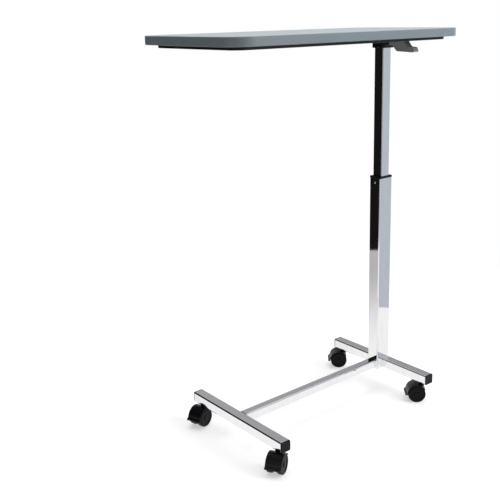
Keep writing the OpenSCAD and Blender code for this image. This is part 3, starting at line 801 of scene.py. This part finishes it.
def buildCap(corner):
    low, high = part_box("cap_" + corner)
    side = 1 if high.y > 0 else -1
    faceLow, faceHigh = low.copy(), high.copy()
    if side > 0:
        faceLow.y = high.y - capLook["face"] * mm
    else:
        faceHigh.y = low.y + capLook["face"] * mm
    cap = roundedBlock("foot_cap_" + corner, faceLow, faceHigh, capLook["corner"] * mm, axis=1)
    outer = high.y if side > 0 else low.y
    bevelEdges(cap, level(1, outer), capLook["roll"] * mm, 4)
    edit(cap)
    pick("FACE", lambda face: face.normal.y * side > 0.999)
    bpy.ops.mesh.inset(thickness=(capLook["panel"] - capLook["roll"]) * mm)
    bpy.ops.mesh.inset(thickness=capLook["panelSlope"] * mm, depth=-capLook["panelRise"] * mm)
    leave()
    inset = capLook["plugInset"] * mm
    plugLow, plugHigh = low + Vector((inset, 0, inset)), high - Vector((inset, 0, inset))
    if side > 0:
        plugHigh.y = faceLow.y + 0.2 * mm
    else:
        plugLow.y = faceHigh.y - 0.2 * mm
    plug = roundedBlock("plug", plugLow, plugHigh, capLook["plugCorner"] * mm, axis=1)
    back = plugLow.y if side > 0 else plugHigh.y
    edit(plug)
    pick("FACE", lambda face: face.normal.y * side < -0.99)
    bpy.ops.mesh.inset(thickness=capLook["plugWall"] * mm)
    hollow = (0, side * capLook["plugDepth"] * mm, 0)
    bpy.ops.mesh.extrude_region_move(TRANSFORM_OT_translate={"value": hollow})
    leave()
    bevelEdges(plug, level(1, back), capLook["plugEdge"] * mm, 2)
    cap = joinPieces("foot_cap_" + corner, [cap, plug])
    smooth(cap)
    finishPiece(cap, "base", "black_plastic", "cap_" + corner)


wheelLook = {
    "radius": 25.0, "width": 14.2, "treadRoll": 2.8, "rim": 19.6, "step": 1.3,
    "hub": 7.0, "hubRise": 0.9, "bore": 3.05, "boreDepth": 11.0, "webInner": 10.0, "groove": 0.5,
    "innerFace": 6.8,               # from the caster's middle
}


def makeWheel():            # axle along Z, its inner face at z = 0
    w = wheelLook
    width, rim, hub = w["width"], w["rim"], w["hub"]
    outline = [         # radius, height, corner radius
        (0, w["boreDepth"], 0), (w["bore"], w["boreDepth"], 0), (w["bore"], 0.5, 0.3), (hub, 0.5, 0.5),
        (hub, w["webInner"], 1.2), (rim - 0.8, w["webInner"], 1.5), (rim, 0, 0.6),
        (w["radius"], 0, w["treadRoll"]), (w["radius"], width, w["treadRoll"]),
        (rim + 1.2, width, 0.5), (rim + 1.0, width - w["groove"], 0.2),
        (rim + 0.4, width - w["groove"], 0.2), (rim + 0.2, width, 0.3), (rim - 1.4, width, 0.6),
        (rim - 2.4, width - w["step"], 0.8), (hub + 1.4, width - w["step"] - 0.5, 1.0),
        (hub + 0.4, width - w["hubRise"] + 0.5, 0.6), (hub - 1.6, width - 0.2, 1.4),
        (1.6, width, 0.5), (1.2, width - 0.5, 0.2), (0, width - 0.5, 0),
    ]
    profile = [(p.x * mm, p.y * mm) for p in roundCorners(outline, 4)]
    return spinProfile("model_wheel", profile)


hoodLook = {
    "offset": 16.0, "axleHeight": 25.0, "radius": 27.8, "wall": 1.7, "halfWidth": 21.4,
    "from": -4.0, "to": 150.0, "lipReach": 5.0, "lipThickness": 2.8,
    "edge": 0.8, "web": 7.0, "webStart": 12.0, "webFoot": 7.0, "hub": 6.0, "boss": 12.6, "bossBottom": 21.0,
    "neck": 17.0, "neckTaper": 1.2, "neckRound": 1.2, "neckBottom": 50.0, "top": 55.5,
    "bore": 4.05, "boreBottom": 27.0, "boreTop": 57.0, "axleBore": 3.05,
}


def makeHood():             # stem on Z, wheels trailing along +X
    h = hoodLook
    centre = Vector((h["offset"], 0, h["axleHeight"])) * mm

    def arc(radius, angle):
        turn = math.radians(angle)
        return Vector((radius * math.cos(turn) * mm, radius * math.sin(turn) * mm))

    steps = 36
    angles = [h["from"] + (h["to"] - h["from"]) * i / steps for i in range(steps + 1)]
    inner = h["radius"] - h["wall"]
    lipEnd = h["radius"] + h["lipReach"]
    down = math.degrees(h["lipThickness"] / 2 / h["radius"])
    outline = [arc(inner, a) for a in reversed(angles)]
    outline += [arc(radius, h["from"] - turn) for radius, turn in
                ((h["radius"], 0), (lipEnd - 1.2, 0), (lipEnd - 0.3, down * 0.25), (lipEnd, down * 0.7),
                 (lipEnd - 0.2, -down * 1.2), (lipEnd - 1.4, -down * 1.75),
                 (h["radius"] + 1.6, -down * 2.1))]
    outline += [arc(h["radius"], a) for a in angles if a > h["from"] + down * 3.2]
    points = [centre + Vector((p.x, -h["halfWidth"] * mm, p.y)) for p in outline]
    shell = extrudeOutline("hood_shell", points, (0, 2 * h["halfWidth"] * mm, 0))

    def isEndArc(edge):         # outer arcs at the two ends, without the lip
        first, second = (v.co for v in edge.verts)
        atEnd = abs(abs(first.y) - h["halfWidth"] * mm) < near and abs(first.y - second.y) < near
        reaches = [(place - centre).xz.length for place in (first, second)]
        return atEnd and all(abs(reach - h["radius"] * mm) < 0.1 * mm for reach in reaches)
    bevelEdges(shell, isEndArc, h["edge"] * mm, 4)

    web = [arc(h["radius"] - h["wall"] / 2, a) for a in angles if a > h["from"] + h["webStart"]]
    web += [arc(h["webFoot"], a) for a in (195, 270, 330)]      # round under the axle
    webPoints = [centre + Vector((p.x, -h["web"] / 2 * mm, p.y)) for p in web]
    plate = extrudeOutline("hood_web", webPoints, (0, h["web"] * mm, 0))
    hub = addRod("hood_hub", centre, h["hub"] * mm, h["boss"] * mm, 1)
    boss = addRod("hood_boss", (0, 0, (h["bossBottom"] + h["top"]) / 2 * mm), h["boss"] / 2 * mm,
                  (h["top"] - h["bossBottom"]) * mm)
    neck = addRod("hood_neck", (0, 0, (h["neckBottom"] + h["top"]) / 2 * mm),
                  (h["neck"] / 2 + h["neckTaper"]) * mm, (h["top"] - h["neckBottom"]) * mm,
                  tipRadius=h["neck"] / 2 * mm)
    bevelEdges(neck, level(2, h["top"] * mm), h["neckRound"] * mm, 3)
    fuse(shell, plate, hub, boss, neck)
    cut(shell, addRod("stem_bore", (0, 0, (h["boreBottom"] + h["boreTop"]) / 2 * mm), h["bore"] * mm,
                      (h["boreTop"] - h["boreBottom"]) * mm, 2, 32),
        addRod("axle_bore", centre, h["axleBore"] * mm, 60 * mm, 1, 32))
    return shell


def buildCasters():
    hood, wheel = makeHood(), makeWheel()
    smooth(hood, 32)
    smooth(wheel, 32)
    for corner in cornerNames:
        stem = Vector(joints["swivel_" + corner]["pos_m"])
        axis = Vector(joints[f"spin_{corner}_a"]["axis"])
        trail = math.atan2(axis.x, -axis.y)
        place = Matrix.Translation((stem.x, stem.y, 0)) @ Matrix.Rotation(trail, 4, "Z")
        finishPiece(copyPiece(hood, "caster_hood_" + corner, place), "caster_" + corner, "caster_hood",
                    "hood_" + corner)
        for letter, side in (("a", 1), ("b", -1)):
            axle = Vector(joints[f"spin_{corner}_{letter}"]["pos_m"])
            turn = Matrix.Translation(axle) @ Matrix.Rotation(trail, 4, "Z") \
                @ Matrix.Rotation(side * math.pi / 2, 4, "X") \
                @ Matrix.Translation((0, 0, wheelLook["innerFace"] * mm))
            name = f"wheel_{corner}_{letter}"
            finishPiece(copyPiece(wheel, "tyre_" + name, turn), name, "caster_wheel", name)
    bpy.data.objects.remove(hood)
    bpy.data.objects.remove(wheel)


buildTabletop()
buildTray()
buildTrayScrews()
print("tabletop and tray built")
buildHead()
buildLever()
print("head and lever built")
buildTubes()
buildWelds()
buildCollar()
print("column and base tubes built")
for corner in cornerNames:
    buildCap(corner)
buildCasters()
print("caps and casters built")

stageLook = {
    "floorSize": 60000,
    "floorColour": 0.80,
    "floorLift": 0.50,              # light that the floor adds where the camera sees it
    "farFloor": (900, 1700),        # beyond this the camera sees plain white
    "poolEdge": (150, 750),         # mirrors see a painted pool of light on the floor, bright and falling off along +Y
    "pool": (1.0, 0.52),
    "ambient": (0.13, 0.42),        # daylight of the room on the object, from -X and from +X
    "horizon": 0.60,                # what mirrors see at the horizon and overhead
    "overhead": 0.95,
    "aim": (60, 0, 620),            # where the lamps point
}


def addMath(finish, operation, first, second, clamp=False):
    return addNode(finish, "ShaderNodeMath", {0: first, 1: second}, operation=operation,
                   use_clamp=clamp).outputs[0]


def addFade(finish, value, reach, ends):       # a soft change from one value to another over a distance
    fade = addNode(finish, "ShaderNodeMapRange",
                   {"Value": value, "From Min": reach[0] * mm, "From Max": reach[1] * mm,
                    "To Min": ends[0], "To Max": ends[1]}, interpolation_type="SMOOTHSTEP")
    return fade.outputs["Result"]


def makeFloorFinish():
    finish, shader = newFinish("pale_floor", Roughness=0.9, Specular_IOR_Level=0.1)
    speck = objectPattern(finish, "ShaderNodeTexNoise", 40, Detail=2.0)
    base = stageLook["floorColour"]
    connect(finish, ramp(finish, speck.outputs["Fac"], [(0.3, base * 0.99), (0.7, base)]),
            shader.inputs["Base Color"])
    rays = addNode(finish, "ShaderNodeLightPath")
    seen = addMath(finish, "ADD", rays.outputs["Is Camera Ray"], rays.outputs["Is Transmission Ray"], True)
    shader.inputs["Emission Color"].default_value = (1, 1, 1, 1)
    lift = addMath(finish, "MULTIPLY", seen, stageLook["floorLift"])
    connect(finish, lift, shader.inputs["Emission Strength"])
    place = addNode(finish, "ShaderNodeTexCoord")
    away = addNode(finish, "ShaderNodeVectorMath", {0: place.outputs["Object"]}, operation="LENGTH")
    fade = addFade(finish, away.outputs["Value"], stageLook["farFloor"], (0, 1))
    white = addNode(finish, "ShaderNodeEmission")
    far = addNode(finish, "ShaderNodeMixShader", {"Fac": addMath(finish, "MULTIPLY", fade, seen),
                                                  1: shader.outputs["BSDF"], 2: white.outputs["Emission"]})
    # painted pool of light: for mirror rays the floor glows, brightest towards -Y and dimmer along +Y
    across = addNode(finish, "ShaderNodeSeparateXYZ", {"Vector": place.outputs["Object"]})
    glow = addFade(finish, across.outputs["Y"], stageLook["poolEdge"], stageLook["pool"])
    pool = addNode(finish, "ShaderNodeEmission", {"Strength": glow})
    mirrored = addNode(finish, "ShaderNodeMixShader", {"Fac": rays.outputs["Is Glossy Ray"],
                                                       1: far.outputs["Shader"],
                                                       2: pool.outputs["Emission"]})
    connect(finish, mirrored.outputs["Shader"], finish.node_tree.nodes["Material Output"].inputs["Surface"])
    return finish


def makeWorld():
    world = bpy.data.worlds.new("studio")
    bpy.context.scene.world = world
    world.use_nodes = True
    rays = addNode(world, "ShaderNodeLightPath")
    backdrop = addNode(world, "ShaderNodeBackground", {"Color": (1, 1, 1, 1), "Strength": 1})
    place = addNode(world, "ShaderNodeTexCoord")
    way = addNode(world, "ShaderNodeSeparateXYZ", {"Vector": place.outputs["Generated"]})
    darkSide, lightSide = stageLook["ambient"]
    daylight = addNode(world, "ShaderNodeMapRange",
                       {"Value": way.outputs["X"], "From Min": -0.8, "From Max": 0.6,
                        "To Min": darkSide, "To Max": lightSide})
    ambient = addNode(world, "ShaderNodeBackground", {"Color": (0.97, 0.98, 1, 1),
                                                      "Strength": daylight.outputs["Result"]})
    sky = ramp(world, way.outputs["Z"], [(0.05, stageLook["horizon"]), (0.8, stageLook["overhead"])])
    mirrored = addNode(world, "ShaderNodeBackground", {"Color": sky, "Strength": 1})
    seen = addMath(world, "ADD", rays.outputs["Is Camera Ray"], rays.outputs["Is Transmission Ray"], True)
    first = addNode(world, "ShaderNodeMixShader", {"Fac": seen, 1: ambient.outputs["Background"],
                                                   2: backdrop.outputs["Background"]})
    second = addNode(world, "ShaderNodeMixShader", {"Fac": rays.outputs["Is Glossy Ray"],
                                                    1: first.outputs["Shader"],
                                                    2: mirrored.outputs["Background"]})
    connect(world, second.outputs["Shader"], world.node_tree.nodes["World Output"].inputs["Surface"])


def addCard(name, centre, facingWay, width, low, high, tone):       # a standing card that only mirrors see
    bpy.ops.object.select_all(action="DESELECT")
    bpy.ops.mesh.primitive_plane_add(size=1)
    card = bpy.context.object
    card.name = name
    card.scale = (width * mm, (high - low) * mm, 1)
    card.rotation_euler = (math.pi / 2, 0, math.radians(facingWay) + math.pi / 2)
    card.location = (centre[0] * mm, centre[1] * mm, (low + high) / 2 * mm)
    card.visible_camera = False
    card.visible_diffuse = False
    card.visible_transmission = False
    card.visible_shadow = False
    finish = bpy.data.materials.new(name)
    finish.use_nodes = True
    finish.node_tree.nodes.clear()
    glow = addNode(finish, "ShaderNodeEmission")
    addNode(finish, "ShaderNodeOutputMaterial", {"Surface": glow.outputs["Emission"]})
    if len(tone) == 2:              # two tones: from the card's left end to its right end
        place = addNode(finish, "ShaderNodeTexCoord")
        split = addNode(finish, "ShaderNodeSeparateXYZ", {"Vector": place.outputs["Object"]})
        shift = addMath(finish, "ADD", split.outputs["X"], 0.5)
        connect(finish, ramp(finish, shift, [(0.0, tone[0]), (1.0, tone[1])]), glow.inputs["Color"])
    else:
        glow.inputs["Color"].default_value = (*tone, 1)
    card.data.materials.append(finish)


def addSoftbox(name, place, size, power):
    data = bpy.data.lights.new(name, "AREA")
    data.shape = "RECTANGLE"
    data.size, data.size_y = size[0] * mm, size[1] * mm
    data.energy = power
    lamp = bpy.data.objects.new(name, data)
    lamp.visible_glossy = False     # mirrors see the cards in place of the lamps
    bpy.context.scene.collection.objects.link(lamp)
    lamp.location = Vector(place) * mm
    ahead = Vector(stageLook["aim"]) - Vector(place)
    lamp.rotation_euler = ahead.to_track_quat("-Z", "Y").to_euler()


def buildStage():
    bpy.ops.object.select_all(action="DESELECT")
    bpy.ops.mesh.primitive_plane_add(size=stageLook["floorSize"] * mm)
    floor = bpy.context.object
    floor.name = "floor"
    floor.data.materials.append(makeFloorFinish())
    makeWorld()
    column = boxCentre("outer_tube") / mm
    for name, azimuth, distance, width, low, high, tone in cards:
        a = math.radians(azimuth)
        centre = (column.x + distance * math.cos(a), column.y + distance * math.sin(a))
        addCard(name, centre, azimuth, width, low, high, tone)
    for softbox in softboxes:
        addSoftbox(*softbox)


cards = [           # name, azimuth and distance from the column, width, lower and upper edge, tone
    ("black_flag", 137.6, 1420, 3600, 0, 3600, (0.008, 0.008, 0.008)),
    ("grey_card", 47.5, 4800, 8000, 1500, 6000, ((0.27, 0.265, 0.275), (0.46, 0.457, 0.475))),
    ("blue_card", -42.4, 660, 1100, 0, 1300, (0.52, 0.56, 0.62)),
    ("back_card", 225, 1500, 1300, 0, 2200, (0.10, 0.103, 0.11)),
    ("front_card", -90, 3000, 1800, 0, 2600, ((0.22, 0.23, 0.25), (0.75, 0.76, 0.78))),
    ("side_card", 4, 2600, 1600, 0, 2600, ((0.30, 0.31, 0.33), (0.72, 0.73, 0.75))),
]
softboxes = [       # name, place, size, power
    ("key_softbox", (1500, -2300, 1900), (1500, 1500), 44),
    ("top_softbox", (200, 300, 3200), (2600, 2600), 58),
]
cameraLook = {
    "place": (-1381.7, -1487.7, 1085.0),
    "azimuth": 50.23,               # the way it looks, from +X towards +Y
    "down": 14.18,
    "roll": -1.19,
    "lens": 57.3,
    "shift": (-0.035, -0.07),
}


def buildCamera():
    a, e, r = (math.radians(cameraLook[key]) for key in ("azimuth", "down", "roll"))
    ahead = Vector((math.cos(a) * math.cos(e), math.sin(a) * math.cos(e), -math.sin(e)))
    side = Vector((math.sin(a), -math.cos(a), 0))
    top = side.cross(ahead)
    right = side * math.cos(r) + top * math.sin(r)
    up = top * math.cos(r) - side * math.sin(r)
    data = bpy.data.cameras.new("camera")
    data.lens = cameraLook["lens"]
    data.shift_x, data.shift_y = cameraLook["shift"]
    camera = bpy.data.objects.new("camera", data)
    bpy.context.scene.collection.objects.link(camera)
    turn = Matrix((right, up, -ahead)).transposed().to_4x4()
    camera.matrix_world = Matrix.Translation(Vector(cameraLook["place"]) * mm) @ turn
    bpy.context.scene.camera = camera


buildStage()
buildCamera()
bpy.context.scene.view_settings.view_transform = "Standard"
print("stage, lights and camera set")
